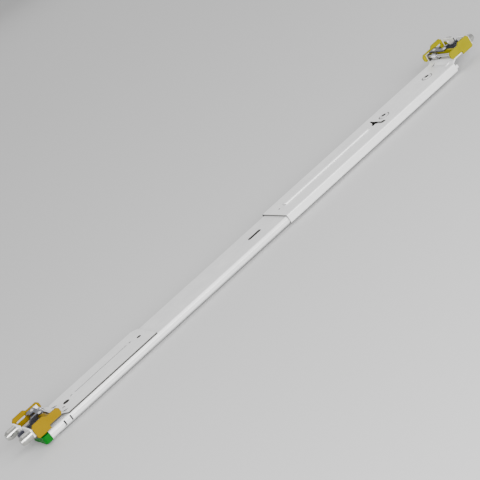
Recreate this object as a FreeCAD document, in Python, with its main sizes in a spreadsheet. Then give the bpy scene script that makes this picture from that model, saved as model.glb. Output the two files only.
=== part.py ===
"""Sliding 1U server rail, right-hand side, as a parametric FreeCAD document.

Frame: +X runs from the front rack post to the rear one, +Y is up when the rail is
mounted, +Z points from the server towards the rack post.  The rail lies flat on the
back of its chassis member, which is Z = 0.  Lengths are millimetres.
"""
import FreeCAD
import Part
import os
import re
import Sketcher

App = FreeCAD
doc = App.newDocument("server_rail")

# ---------------------------------------------------------------- driving sizes
SIZES = {
    # whole rail
    "ear_span": (561.0, "front ear face to rear ear face, bracket pushed in"),
    "face_level": (9.8, "outer face of the fixed rail above the chassis face"),
    "outer_half": (20.5, "half height of the fixed rail"),
    # fixed rail (outer member)
    "outer_wall": (1.2, "sheet of the fixed rail"),
    "outer_front": (11.6, "front ear to the rail's front end"),
    "outer_back": (431.5, "front ear to the rail's rear end"),
    "outer_race_depth": (1.45, "how far the race hollow leans out"),
    "slot_start": (264.1, "front ear to the slot in its face"),
    "slot_end": (279.7, "front ear to the far end of that slot"),
    "slot_level": (0.1, "that slot above the centre line"),
    "slot_radius": (2.3, "half width of that slot"),
    "tab_start": (28.2, "front ear to the lanced tab in its lower side"),
    "tab_end": (33.5, "front ear to the tab's far end"),
    "tab_slit": (1.5, "width of the slits beside the tab"),
    "tab_foot": (3.2, "length of the foot cut beside the tab"),
    # balls and ball cages
    "outer_ball": (3.0, "ball diameter, outer run"),
    "inner_ball": (2.6, "ball diameter, inner run"),
    "outer_ball_level": (5.9, "height of the outer run of balls"),
    "inner_ball_level": (2.6, "height of the inner run of balls"),
    "race_play": (0.05, "gap between a ball and each race"),
    "cage_strip": (0.6, "sheet of a ball cage"),
    "cage_depth": (1.9, "height of a cage strip"),
    "cage_play": (0.08, "gap between a ball and its cage window"),
    "cage_start": (111.0, "front ear to the front of a cage"),
    "cage_length": (200.0, "length of a cage"),
    "cage_bridge": (14.0, "length of the bridges that join a cage's strips"),
    "ball_pitch": (36.0, "spacing of the balls along a cage"),
    # middle member
    "middle_wall": (1.0, "sheet of the middle member"),
    "middle_front": (20.0, "front ear to its front end"),
    "middle_back": (424.0, "front ear to its rear end"),
    "middle_top": (8.0, "height of its back"),
    "waist_step": (0.75, "how far its side bellies out below the waist"),
    "middle_slot_length": (26.0, "length of the openings in its back"),
    "middle_slot_radius": (4.0, "half width of those openings"),
    # inner member
    "inner_wall": (1.0, "sheet of the inner member"),
    "inner_front": (11.6, "front ear to its front end"),
    "inner_back": (410.0, "front ear to its rear end"),
    "inner_side": (4.9, "height of its side"),
    "chassis_hole_radius": (2.25, "clearance hole for an M4 screw"),
    "chassis_hole_front": (60.0, "front ear to the first chassis hole"),
    "chassis_hole_pitch": (155.0, "spacing of the chassis holes"),
    # front bracket
    "front_wall": (1.5, "sheet of the front bracket"),
    "front_plate_back": (137.5, "front ear to the plate's rear edge"),
    "plate_inset": (0.45, "plate's lower edge inside the fixed rail's"),
    "corner_cut": (5.0, "length of the plate's cut corner"),
    "front_ramp_start": (30.0, "front ear to the near end of the joggle"),
    "front_ramp_end": (35.0, "front ear to the far end of the joggle"),
    "joggle_rise": (3.0, "step of the joggle away from the rail face"),
    "plate_rivet_front": (52.0, "front ear to the plate's first rivet"),
    "plate_rivet_rear": (120.7, "front ear to the plate's second rivet"),
    "plate_rivet_level": (4.0, "the plate's rivets above the centre line"),
    "plate_rivet_radius": (1.3, "shank of the plate's rivets"),
    "plate_rivet_hollow": (0.9, "radius of the hollow in a plate rivet"),
    "plate_rivet_depth": (1.1, "depth of that hollow"),
    "keyhole_start": (41.0, "front ear to the plate's first slot"),
    "keyhole_end": (47.4, "front ear to that slot's far end"),
    "keyhole_level": (1.4, "that slot above the centre line"),
    "keyhole_radius": (3.0, "half width of that slot"),
    "oval_start": (126.9, "front ear to the plate's second slot"),
    "oval_end": (131.3, "front ear to that slot's far end"),
    "oval_level": (0.8, "that slot above the centre line"),
    "oval_radius": (2.1, "half width of that slot"),
    "groove_start": (56.0, "front ear to the scribed line"),
    "groove_end": (117.0, "front ear to the line's far end"),
    "groove_level": (5.0, "the line above the centre line"),
    "groove_half": (0.5, "half width of the line"),
    "groove_depth": (0.7, "depth of the line"),
    "mark_place": (38.2, "front ear to the small round mark behind the joggle"),
    "mark_level": (4.2, "that mark below the centre line"),
    "mark_radius": (1.5, "radius of that mark"),
    "mark_depth": (0.5, "depth of that mark"),
    "ear_rise": (12.4, "outer edge of an ear above the rail face"),
    "ear_inset": (2.1, "an ear's long edge inside the bracket's"),
    "ear_corner": (2.0, "radius of an ear's corners"),
    "gusset_level": (11.5, "pressed gussets either side of the centre line"),
    "gusset_half": (1.2, "half width of a gusset"),
    # rear bracket
    "rear_wall": (1.2, "sheet of the rear bracket"),
    "slide_gap": (0.15, "gap between the rear bracket and the fixed rail"),
    "rear_front": (298.7, "front ear to the rear bracket's front edge"),
    "rear_channel_back": (30.5, "rear ear to the end of the channel's back"),
    "rear_flange_back": (28.0, "rear ear to the end of its flanges"),
    "rear_ramp_near": (25.0, "rear ear to the near end of the joggle"),
    "rib_start": (313.0, "front ear to the rib's front end"),
    "rib_end": (429.0, "front ear to the rib's rear end"),
    "rib_width": (6.8, "width of the embossed rib"),
    "rib_rise": (1.2, "height of the rib"),
    "rib_round": (1.1, "radius of the rib's shoulders"),
    "rib_end_wall": (1.2, "sheet left at the ends of the rib"),
    "rib_groove": (4.4, "width of the groove under the rib"),
    "rib_level": (2.3, "rib above the centre line"),
    "rear_rivet_front": (448.9, "front ear to the first ringed rivet"),
    "rear_rivet_rear": (510.9, "front ear to the second ringed rivet"),
    "rear_rivet_shank": (2.9, "shank radius of the ringed rivets"),
    "rear_rivet_head": (4.9, "head radius of the ringed rivets"),
    "rear_rivet_height": (0.8, "height of a ringed rivet's head"),
    "rear_rivet_hollow": (2.3, "radius of the hollow in a ringed rivet"),
    "rear_rivet_depth": (2.6, "depth of that hollow"),
    "ring_width": (0.8, "width of the pressed ring round a rivet"),
    "ring_depth": (0.45, "depth of that ring"),
    "rear_dot_place": (307.4, "front ear to the small hole near the bracket's front edge"),
    "rear_dot_level": (2.5, "that hole above the centre line"),
    "rear_dot_radius": (1.0, "radius of that hole"),
    "crease_start": (442.0, "front ear to the crease near the lower bend"),
    "crease_end": (516.0, "front ear to the crease's far end"),
    "crease_level": (16.15, "the crease below the centre line"),
    "crease_half": (0.3, "half width of the crease"),
    "crease_depth": (0.35, "depth of the crease"),
    "window_place": (440.0, "front ear to the middle of the forked window"),
    "stiffener_wall": (1.4, "sheet of the plate behind the ringed rivets"),
    "stiffener_half": (15.0, "half height of that plate"),
    "stiffener_margin": (5.4, "plate beyond the first rivet"),
    "stiffener_tail": (10.0, "plate beyond the second rivet"),
    "stiffener_hole": (6.0, "radius of the plate's middle hole"),
    "stiffener_corner": (3.0, "radius of the plate's corners"),
    "stud_place": (420.0, "front ear to the guide stud"),
    "stud_radius": (1.2, "radius of the guide stud"),
    # rack pegs on 1U hole centres
    "peg_spacing": (31.75, "first to third rack hole"),
    "peg_rise": (7.6, "peg centre above the rail face"),
    "front_peg_radius": (4.5, "fits a 9.5 mm square hole"),
    "rear_peg_radius": (4.3, "slacker, so that the rear hooks up easily"),
    "peg_shank": (2.5, "riveted shank of a peg"),
    "front_peg_reach": (11.0, "front peg beyond its ear"),
    "rear_peg_reach": (6.0, "rear peg beyond its ear"),
    "peg_nose": (2.8, "length of the tapered nose"),
    "peg_nose_radius": (3.0, "radius at the tip"),
    # latch
    "pin_place": (24.5, "ear face to the latch pin"),
    "pin_rise": (8.2, "latch pin above the rail face"),
    "pin_radius": (1.5, "radius of the latch pin"),
    "pin_play": (0.06, "gap round the latch pin"),
    "pin_cover": (0.5, "skin of a wing over the end of the latch pin"),
    "pin_end_gap": (0.1, "gap between that skin and the pin"),
    "wing_wall": (1.4, "thickness of a lever wing"),
    "wing_gap": (1.8, "ear face to the lever's front edge"),
    "head_length": (13.7, "length of the T head"),
    "head_low": (1.9, "lower edge of the head above the rail face"),
    "head_high": (14.6, "upper edge of the head"),
    "neck_end": (30.0, "ear face to the end of the neck"),
    "neck_low": (4.9, "lower edge of the neck"),
    "neck_high": (12.4, "upper edge of the neck"),
    "spine_start": (18.0, "ear face to the near side of the spine"),
    "spine_end": (20.8, "ear face to the far side of the spine"),
    "spine_low": (6.4, "underside of the spine"),
    "spine_high": (10.9, "top of the spine"),
    "wing_slot_level": (9.3, "slot in the head above the rail face"),
    "wing_slot_radius": (1.0, "half width of that slot"),
    "hook_sheet": (1.2, "sheet of the hook's base plate"),
    "hook_plate_start": (14.5, "ear face to the near edge of the hook's plate"),
    "hook_flange_low": (4.6, "lower edge of the plate's turned-down sides"),
    "hook_plate_inner": (8.0, "centre line to the wide part of the plate"),
    "hook_plate_low": (5.6, "plate beyond the centre line on the other side"),
    "hook_plate_end": (22.4, "ear face to the far edge of the hook's plate"),
    "hook_rivet_far": (13.0, "centre line to the rivet in the wide part"),
    "hook_rivet_near": (3.4, "centre line to the rivet beside the arm"),
    "hook_rivet_radius": (1.0, "shank of the hook's rivets"),
    "hook_width": (3.2, "width of the hook's arm"),
    "hook_reach": (6.0, "hook tip beyond the ear face"),
    "post_room": (3.2, "room for the rack post behind the barb"),
    "barb_low": (1.0, "lower end of the barb above the rail face"),
    "arm_low": (5.5, "underside of the arm"),
    "arm_high": (9.5, "top of the arm"),
    "lug_wall": (1.5, "thickness of a pin lug"),
    "lug_high": (11.2, "top of a pin lug"),
    "lug_front": (2.6, "lug in front of the pin's centre"),
    "lug_back": (2.4, "lug behind the pin's centre"),
    "spring_wire": (0.8, "wire of the torsion spring"),
    "spring_room": (0.25, "gap between the coil and the pin"),
    "spring_place": (9.0, "middle of the coil above the centre line"),
    "spring_turns": (8.0, "turns of the coil"),
    # front grip
    "grip_start": (4.4, "front ear to the grip's face"),
    "grip_end": (11.4, "front ear to the grip's rear face"),
    "grip_high": (5.5, "grip's upper edge above the centre line"),
    "grip_low_level": (2.55, "underside of the grip"),
    "grip_gap": (0.3, "grip to the rail face"),
    "grip_tongue_half": (10.0, "half width of the tongue riveted to the inner member"),
    "grip_tongue_end": (26.0, "front ear to the end of that tongue"),
    "grip_tongue_gap": (0.6, "tongue below the top of the inner member's side"),
    "grip_rivet_front": (14.5, "front ear to the grip's first rivet"),
    "grip_rivet_rear": (21.0, "front ear to the grip's second rivet"),
    "grip_rivet_radius": (1.25, "shank of the grip's rivets"),
    # release lever
    "release_place": (110.0, "front ear to the release lever's pivot"),
    "release_half": (48.0, "half length of the release lever"),
    "release_wall": (1.2, "thickness of the release lever"),
    "release_pin": (1.9, "radius of its pivot"),
    "release_play": (0.1, "gap round its pivot"),
    "seat_gap": (0.3, "running gap of the release lever"),
}

sheet = doc.addObject("Spreadsheet::Sheet", "sizes")
for row, (alias, (size, note)) in enumerate(SIZES.items(), start=1):
    sheet.set(f"A{row}", alias)
    sheet.set(f"B{row}", str(size))
    sheet.set(f"C{row}", note)
    sheet.setAlias(f"B{row}", alias)
doc.recompute()


# sizes that follow from others
DERIVED = {
    "bracket_half": "(outer_half + slide_gap + rear_wall)",
    "ear_half": "(outer_half + slide_gap + rear_wall - ear_inset)",
    "front_plate_bottom": "(outer_half - plate_inset)",
}


def bound(text):
    """An expression in which each size's name points at its spreadsheet cell."""
    text = re.sub(r"[a-z][a-z_0-9]+", lambda word: DERIVED.get(word[0], word[0]), str(text))
    return re.sub(r"[a-z][a-z_0-9]+", lambda word: "sizes." + word[0] if word[0] in SIZES else word[0], str(text))


def value(text):
    return float(sheet.evalExpression(bound(text)))


# places along the rail, as expressions
FRONT = "(front_peg_reach - rear_peg_reach - ear_span) / 2"
REAR = f"({FRONT} + ear_span)"


def from_front(distance):
    return f"({FRONT} + ({distance}))"


def from_rear(distance):
    return f"({REAR} - ({distance}))"


def above_face(distance):
    return f"(face_level + ({distance}))"


# ---------------------------------------------------------------- modelling helpers
PLANES = {"XY": "XY_Plane", "XZ": "XZ_Plane", "YZ": "YZ_Plane"}


def new_body(label):
    body = doc.addObject("PartDesign::Body", label)
    body.Label = label
    return body


def new_sketch(body, plane, offset="0"):
    """A sketch on one of the body's origin planes; XZ sketches look along -Y."""
    sketch = body.newObject("Sketcher::SketchObject", f"{body.Name}_sketch")
    role = PLANES[plane]
    support = [item for item in body.Origin.OriginFeatures if item.Role == role][0]
    sketch.AttachmentSupport = (support, [""])
    sketch.MapMode = "FlatFace"
    sign = "-" if plane == "XZ" else ""
    sketch.setExpression("AttachmentOffset.Base.z", bound(f"{sign}({offset})"))
    return sketch


def fix_point(sketch, element, end, across, up):
    for kind, size in (("DistanceX", across), ("DistanceY", up)):
        index = sketch.addConstraint(Sketcher.Constraint(kind, element, end, value(size)))
        sketch.setExpression(f"Constraints[{index}]", bound(size))


def draw_path(sketch, points, closed=True):
    """Straight lines through points whose coordinates are expressions."""
    first = sketch.GeometryCount
    spots = [App.Vector(value(across), value(up), 0) for across, up in points]
    ends = spots[1:] + spots[:1] if closed else spots[1:]
    sketch.addGeometry([Part.LineSegment(start, end) for start, end in zip(spots, ends)])
    count = len(ends)
    joints = [Sketcher.Constraint("Coincident", first + i, 2, first + i + 1, 1) for i in range(count - 1)]
    if closed:
        joints.append(Sketcher.Constraint("Coincident", first + count - 1, 2, first, 1))
    sketch.addConstraint(joints)
    for i, (across, up) in enumerate(points):
        last_open = not closed and i == count
        fix_point(sketch, first + i - last_open, 2 if last_open else 1, across, up)


def draw_circle(sketch, across, up, radius):
    index = sketch.addGeometry(Part.Circle(App.Vector(value(across), value(up), 0), App.Vector(0, 0, 1), value(radius)))
    fix_point(sketch, index, 3, across, up)
    limit = sketch.addConstraint(Sketcher.Constraint("Radius", index, value(radius)))
    sketch.setExpression(f"Constraints[{limit}]", bound(radius))


def box_points(low_across, low_up, high_across, high_up):
    return [(low_across, low_up), (high_across, low_up), (high_across, high_up), (low_across, high_up)]


def add_feature(body, kind, sketch, length=None, both_sides=False, backwards=False, through=False):
    before = body.Shape.Volume if body.Tip and kind == "Pocket" else None
    feature = body.newObject(f"PartDesign::{kind}", f"{body.Name}_{kind.lower()}")
    feature.Profile = sketch
    if through:
        feature.Type = "ThroughAll"
    else:
        feature.setExpression("Length", bound(length))
    if both_sides:
        feature.SideType = "Symmetric"
    feature.Reversed = backwards
    doc.recompute()
    if before is not None and body.Shape.Volume > before - 1e-6:
        raise RuntimeError(f"{body.Label}: {feature.Name} cuts nothing")
    return feature


def prism(body, plane, points, low, high, kind="Pad"):
    """Pads or pockets an outline between two places along the plane's axis."""
    start = high if plane == "XZ" else low
    sketch = new_sketch(body, plane, start)
    draw_path(sketch, points)
    return add_feature(body, kind, sketch, f"({high}) - ({low})", backwards=(kind == "Pocket"))


def bore(body, plane, holes, low, high):
    """Round holes, each (across, up, radius), cut between two places."""
    sketch = new_sketch(body, plane, high if plane == "XZ" else low)
    for hole in holes:
        draw_circle(sketch, *hole)
    return add_feature(body, "Pocket", sketch, f"({high}) - ({low})", backwards=True)


def draw_slot(sketch, start, end, level, radius):
    """An obround along the sketch's first axis."""
    first = sketch.GeometryCount
    axis = App.Vector(0, 0, 1)
    left = App.Vector(value(start) + value(radius), value(level), 0)
    right = App.Vector(value(end) - value(radius), value(level), 0)
    size = value(radius)
    up = App.Vector(0, size, 0)
    quarter = 1.5707963267948966
    sketch.addGeometry([
        Part.ArcOfCircle(Part.Circle(left, axis, size), quarter, 3 * quarter),
        Part.LineSegment(left - up, right - up),
        Part.ArcOfCircle(Part.Circle(right, axis, size), -quarter, quarter),
        Part.LineSegment(right + up, left + up),
    ])
    sketch.addConstraint([
        Sketcher.Constraint("Tangent", first, 2, first + 1, 1),
        Sketcher.Constraint("Tangent", first + 1, 2, first + 2, 1),
        Sketcher.Constraint("Tangent", first + 2, 2, first + 3, 1),
        Sketcher.Constraint("Tangent", first + 3, 2, first, 1),
        Sketcher.Constraint("Equal", first, first + 2),
    ])
    limit = sketch.addConstraint(Sketcher.Constraint("Radius", first, size))
    sketch.setExpression(f"Constraints[{limit}]", bound(radius))
    fix_point(sketch, first, 3, f"({start}) + ({radius})", level)
    across = sketch.addConstraint(Sketcher.Constraint("DistanceX", first + 2, 3, right.x))
    sketch.setExpression(f"Constraints[{across}]", bound(f"({end}) - ({radius})"))


def slot(body, plane, start, end, level, radius, low, high, kind="Pocket"):
    sketch = new_sketch(body, plane, high if plane == "XZ" else low)
    draw_slot(sketch, start, end, level, radius)
    return add_feature(body, kind, sketch, f"({high}) - ({low})", backwards=(kind == "Pocket"))


def soften(body, radius, wanted):
    """Rounds the edges that the test picks."""
    names = [f"Edge{i}" for i, edge in enumerate(body.Shape.Edges, start=1) if wanted(edge)]
    if not names:
        raise RuntimeError(f"{body.Label}: no edge to round")
    fillet = body.newObject("PartDesign::Fillet", f"{body.Name}_fillet")
    fillet.Base = (body.Group[-2], names)
    fillet.setExpression("Radius", bound(radius))
    doc.recompute()
    return fillet


def runs_along(edge, axis):
    if len(edge.Vertexes) < 2:
        return False
    step = edge.Vertexes[1].Point - edge.Vertexes[0].Point
    return step.Length > 1e-6 and abs(abs(step.dot(axis)) / step.Length - 1) < 1e-6


def primitive(kind, name, sizes, place, turn=None):
    item = doc.addObject(f"Part::{kind}", name)
    for name_of_size, size in sizes.items():
        item.setExpression(name_of_size, bound(size))
    if turn is not None:
        item.Placement = App.Placement(App.Vector(), turn)
    for letter, size in zip("xyz", place):
        item.setExpression(f"Placement.Base.{letter}", bound(size))
    return item


ALONG_X = App.Rotation(App.Vector(0, 1, 0), 90)
AGAINST_X = App.Rotation(App.Vector(0, 1, 0), -90)
ALONG_Y = App.Rotation(App.Vector(1, 0, 0), -90)
ALONG_Z = App.Rotation()


def rod(name, radius, length, place, turn):
    return primitive("Cylinder", name, {"Radius": radius, "Height": length}, place, turn)


def taper(name, low_radius, high_radius, length, place, turn):
    return primitive("Cone", name, {"Radius1": low_radius, "Radius2": high_radius, "Height": length}, place, turn)


def joined(label, pieces):
    """Pieces that touch become one solid; pieces that don't stay separate solids."""
    whole = doc.addObject("Part::MultiFuse", label)
    whole.Label = label
    whole.Shapes = pieces
    whole.Refine = True
    return whole


def grouped(label, pieces):
    group = doc.addObject("Part::Compound", label)
    group.Label = label
    group.Links = pieces
    return group


def cut_away(label, base, tools):
    result = doc.addObject("Part::Cut", label)
    result.Label = label
    result.Base = base
    result.Tool = joined(f"{label}_cutters", tools) if len(tools) > 1 else tools[0]
    return result


def mirrored_path(half):
    return half + [(f"-({across})", up) for across, up in reversed(half)]


def rolled_section(name, half_path, wall, start, end):
    """A sheet profile: its inside line, thickened outwards and run along X."""
    sketch = doc.addObject("Sketcher::SketchObject", f"{name}_line")
    sketch.Placement = App.Placement(App.Vector(), App.Rotation(App.Vector(1, 1, 1), 120))
    sketch.setExpression("Placement.Base.x", bound(start))
    draw_path(sketch, mirrored_path(half_path), closed=False)
    skin = doc.addObject("Part::Offset2D", f"{name}_skin")
    skin.Source = sketch
    skin.Mode = "Skin"
    skin.Join = "Arc"
    skin.Fill = True
    skin.Value = value(wall)
    skin.setExpression("Value", bound(wall))
    run = doc.addObject("Part::Extrusion", f"{name}_run")
    run.Base = skin
    run.DirMode = "Custom"
    run.Dir = App.Vector(1, 0, 0)
    run.setExpression("LengthFwd", bound(f"({end}) - ({start})"))
    run.Solid = True
    doc.recompute()
    return run


def block(name, low, high):
    sizes = {key: f"({top}) - ({bottom})" for key, bottom, top in zip(("Length", "Width", "Height"), low, high)}
    return primitive("Box", name, sizes, low)


def obround(name, start, end, level, radius, low, high):
    """A round-ended block along X, for a slot through a web."""
    height = f"({high}) - ({low})"
    return [
        block(f"{name}_body", (f"({start}) + ({radius})", f"({level}) - ({radius})", low),
              (f"({end}) - ({radius})", f"({level}) + ({radius})", high)),
        rod(f"{name}_front", radius, height, (f"({start}) + ({radius})", level, low), ALONG_Z),
        rod(f"{name}_back", radius, height, (f"({end}) - ({radius})", level, low), ALONG_Z),
    ]


# ---------------------------------------------------------------- rolled profiles
# Each half profile runs from the lip to the middle of the back.
OUTER_BALL_Y = "(outer_half - outer_wall - race_play - outer_ball / 2)"
MIDDLE_WAIST = f"({OUTER_BALL_Y} - outer_ball / 2 - race_play - middle_wall)"
MIDDLE_BELLY = f"({MIDDLE_WAIST} + waist_step)"
INNER_BALL_Y = f"({MIDDLE_BELLY} - race_play - inner_ball / 2)"
INNER_WAIST = f"({INNER_BALL_Y} - inner_ball / 2 - race_play - inner_wall)"
OUTER_INSIDE = "(face_level - outer_wall)"

OUTER_HALF = [
    ("outer_half - outer_wall - outer_race_depth", "outer_ball_level - outer_ball / 2 - 0.95"),
    ("outer_half - outer_wall", "outer_ball_level - 1.25"),
    ("outer_half - outer_wall", "outer_ball_level + 1.25"),
    ("outer_half - outer_wall - 0.9", OUTER_INSIDE),
]
MIDDLE_HALF = [
    (f"{MIDDLE_BELLY} - 0.75", "inner_ball_level - inner_ball / 2 - 0.05"),
    (MIDDLE_BELLY, "inner_ball_level - 1.0"),
    (MIDDLE_BELLY, "inner_ball_level + 0.7"),
    (MIDDLE_WAIST, "inner_ball_level + 1.8"),
    (MIDDLE_WAIST, "middle_top - middle_wall"),
]
INNER_HALF = [
    (f"-({INNER_WAIST} + 1.05)", "inner_side"),
    (f"-{INNER_WAIST}", "inner_ball_level + 1.1"),
    (f"-{INNER_WAIST}", "inner_ball_level - 1.1"),
    (f"-({INNER_WAIST} + 0.45)", "inner_wall"),
]
BRACKET_INSIDE = "(face_level + slide_gap)"
BRACKET_SIDE = "(bracket_half - rear_wall)"
REAR_HALF = [
    (f"{BRACKET_SIDE} - 0.85", "outer_ball_level - 2.6"),
    (BRACKET_SIDE, "outer_ball_level - 1.9"),
    (BRACKET_SIDE, BRACKET_INSIDE),
]

# ---------------------------------------------------------------- fixed rail
outer_run = rolled_section("outer", OUTER_HALF, "outer_wall", from_front("outer_front"), from_front("outer_back"))
PLATE_RIVETS = ("plate_rivet_front", "plate_rivet_rear")
outer_cutters = obround("mid_slot", from_front("slot_start"), from_front("slot_end"), "slot_level", "slot_radius",
                        f"{OUTER_INSIDE} - 1", "face_level + 1")
for hole in ("keyhole", "oval"):
    outer_cutters += obround(f"outer_{hole}", from_front(f"{hole}_start"), from_front(f"{hole}_end"), f"{hole}_level",
                             f"{hole}_radius", f"{OUTER_INSIDE} - 1", "face_level + 1")
outer_cutters += [rod(f"outer_rivet_hole_{i}", "plate_rivet_radius", "4",
                      (from_front(place), "plate_rivet_level", f"{OUTER_INSIDE} - 1"), ALONG_Z)
                  for i, place in enumerate(PLATE_RIVETS)]
outer_cutters.append(rod("stud_hole", "stud_radius", "4", (from_front("stud_place"), "rib_level", f"{OUTER_INSIDE} - 1"), ALONG_Z))
for i, place in enumerate(("tab_start - tab_slit", "tab_end")):
    outer_cutters.append(block(f"tab_slit_{i}", (from_front(place), "-outer_half - 1", "outer_ball_level - 2.4"),
                               (from_front(f"{place} + tab_slit"), "-outer_half + 2.6", "outer_ball_level + 2.6")))
outer_cutters.append(block("tab_foot", (from_front("tab_start - tab_foot"), "-outer_half - 1", "outer_ball_level - 1.9"),
                           (from_front("tab_start - tab_slit + 0.1"), "-outer_half + 2.6", "outer_ball_level - 1.2")))
outer_member = cut_away("outer_member", outer_run, outer_cutters)

# plastic buffer closing the rear end of the fixed rail
buffer_body = new_body("outer_rear_buffer")
prism(buffer_body, "YZ", box_points("-11", "1.6", "11", OUTER_INSIDE), from_front("middle_back + 2.2"), from_front("outer_back"))
prism(buffer_body, "YZ", box_points("-6", "0.6", "6", "5.4"), from_front("middle_back + 4"), from_front("outer_back + 1"), "Pocket")

# ---------------------------------------------------------------- rack ear features


def along(side, distance):
    """A place measured from an ear's face towards the middle of the rail."""
    return from_front(distance) if side == "front" else from_rear(distance)


def span(side, near, far):
    """The same, for a stretch: its low and high X."""
    ends = (along(side, near), along(side, far))
    return ends if side == "front" else ends[::-1]


def strip_prism(body, side, outline, half, kind="Pad"):
    """An outline of (distance from the ear, rise above the face), run across the rail."""
    points = [(along(side, distance), above_face(rise)) for distance, rise in outline]
    return prism(body, "XZ", points, f"-({half})", half, kind)


def rack_ear(body, side, wall, base_rise, ramp_near, ramp_far):
    """The joggled end of a bracket with its ear, lugs, gussets and holes."""
    strip_prism(body, side, [
        ("0", "joggle_rise"), ("0", "ear_rise"), (wall, "ear_rise"), (wall, f"joggle_rise + {wall}"),
        (ramp_near, f"joggle_rise + {wall}"), (ramp_far, f"{base_rise} + {wall}"),
        (ramp_far, base_rise), (ramp_near, "joggle_rise"),
    ], "ear_half")
    top = f"joggle_rise + {wall}"
    for low, high in (("ear_half - lug_wall", "ear_half"), ("-ear_half", "-ear_half + lug_wall")):
        near, far = span(side, "pin_place - lug_front", "pin_place + lug_back")
        prism(body, "XZ", box_points(near, above_face(f"{top} - 0.2"), far, above_face("lug_high")), low, high)
    for level in ("-gusset_level", "gusset_level"):
        points = [(along(side, distance), above_face(rise)) for distance, rise in (
            (f"{ramp_near} + 1.5", f"{top} - 1.2"), (f"{ramp_far} + 4", f"{base_rise} + {wall}"),
            (f"{ramp_far} + 4", f"{base_rise} + {wall} - 0.3"), (f"{ramp_far} - 1", f"{base_rise} + {wall} - 0.6"))]
        prism(body, "XZ", points, f"{level} - gusset_half", f"{level} + gusset_half")
    near, far = span(side, "-1", f"{wall} + 1")
    prism(body, "YZ", box_points("-hook_width / 2 - 1.2", above_face(f"joggle_rise + {wall} + 0.3"),
                                 "hook_width / 2 + 1.2", above_face("ear_rise + 1")), near, far, "Pocket")
    bore(body, "YZ", [(f"{sign} * peg_spacing / 2", above_face("peg_rise"), "peg_shank") for sign in (-1, 1)], near, far)
    bore(body, "XZ", [(along(side, "pin_place"), above_face("pin_rise"), "pin_radius")], "-ear_half - 1", "ear_half + 1")
    near, far = span(side, "pin_place - 4.2", "pin_place + 0.2")
    spring_end = "spring_place - spring_turns * spring_wire / 2"
    prism(body, "XY", box_points(near, f"{spring_end} - 0.8", far, f"{spring_end} + 1.6"),
          above_face("joggle_rise - 1"), above_face(f"{top} + 1"), "Pocket")
    outer_edge = value(above_face("ear_rise"))
    outer_side = value("ear_half")
    ear_place = value(along(side, "0"))

    def is_ear_corner(edge):
        middle = edge.BoundBox.Center
        return (runs_along(edge, App.Vector(1, 0, 0)) and abs(middle.z - outer_edge) < 0.01
                and abs(abs(middle.y) - outer_side) < 0.01 and abs(middle.x - ear_place) < 3)
    soften(body, "ear_corner", is_ear_corner)


# ---------------------------------------------------------------- front bracket
front_bracket = new_body("front_bracket")
plate_top = above_face("front_wall")
prism(front_bracket, "XY", [
    (from_front("front_ramp_end"), "-front_plate_bottom"),
    (from_front("front_plate_back"), "-front_plate_bottom"),
    (from_front("front_plate_back"), "bracket_half - corner_cut"),
    (from_front("front_plate_back - corner_cut"), "bracket_half"),
    (from_front("front_ramp_end"), "bracket_half"),
], "face_level", plate_top)
rack_ear(front_bracket, "front", "front_wall", "0", "front_ramp_start", "front_ramp_end")
for hole in ("keyhole", "oval"):
    slot(front_bracket, "XY", from_front(f"{hole}_start"), from_front(f"{hole}_end"), f"{hole}_level", f"{hole}_radius",
         "face_level - 1", f"{plate_top} + 1")
slot(front_bracket, "XY", from_front("groove_start"), from_front("groove_end"), "groove_level", "groove_half",
     f"{plate_top} - groove_depth", f"{plate_top} + 1")
bore(front_bracket, "XY", [(from_front(place), "plate_rivet_level", "plate_rivet_radius") for place in PLATE_RIVETS],
     "face_level - 1", f"{plate_top} + 1")

bore(front_bracket, "XY", [(from_front("mark_place"), "-mark_level", "mark_radius")],
     f"{plate_top} - mark_depth", f"{plate_top} + 1")

rivet_pieces = []
for i, place in enumerate(PLATE_RIVETS):
    centre = (from_front(place), "plate_rivet_level")
    rivet_pieces.append(rod(f"bracket_rivet_{i}", "plate_rivet_radius", f"{plate_top} - {OUTER_INSIDE} + 0.3", (*centre, OUTER_INSIDE), ALONG_Z))
    rivet_pieces.append(taper(f"bracket_rivet_head_{i}", "plate_rivet_radius + 0.5", "plate_rivet_radius", "0.4", (*centre, plate_top), ALONG_Z))
rivet_hollows = [rod(f"bracket_rivet_hollow_{i}", "plate_rivet_hollow", "2",
                     (from_front(place), "plate_rivet_level", f"{plate_top} + 0.4 - plate_rivet_depth"), ALONG_Z)
                 for i, place in enumerate(PLATE_RIVETS)]
front_bracket_rivets = cut_away("front_bracket_rivets", joined("front_bracket_rivet_solids", rivet_pieces), rivet_hollows)


# ---------------------------------------------------------------- pegs


def rack_pegs(label, side, wall, reach):
    outward = AGAINST_X if side == "front" else ALONG_X
    sign = "-" if side == "front" else "+"
    face = along(side, "0")
    pieces = []
    for i, level in enumerate(("-peg_spacing / 2", "peg_spacing / 2")):
        def at(distance):
            return (f"{face} {sign} ({distance})", level, above_face("peg_rise"))
        pieces.append(rod(f"{label}_back_{i}", "peg_shank + 0.5", "0.9", at(f"-{wall} - 0.9"), outward))
        pieces.append(rod(f"{label}_shank_{i}", "peg_shank", wall, at(f"-{wall}"), outward))
        pieces.append(rod(f"{label}_stem_{i}", f"{side}_peg_radius", f"{reach} - peg_nose", at("0"), outward))
        pieces.append(taper(f"{label}_nose_{i}", f"{side}_peg_radius", "peg_nose_radius", "peg_nose", at(f"{reach} - peg_nose"), outward))
    return joined(label, pieces)


front_pegs = rack_pegs("front_pegs", "front", "front_wall", "front_peg_reach")
rear_pegs = rack_pegs("rear_pegs", "rear", "rear_wall", "rear_peg_reach")

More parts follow.
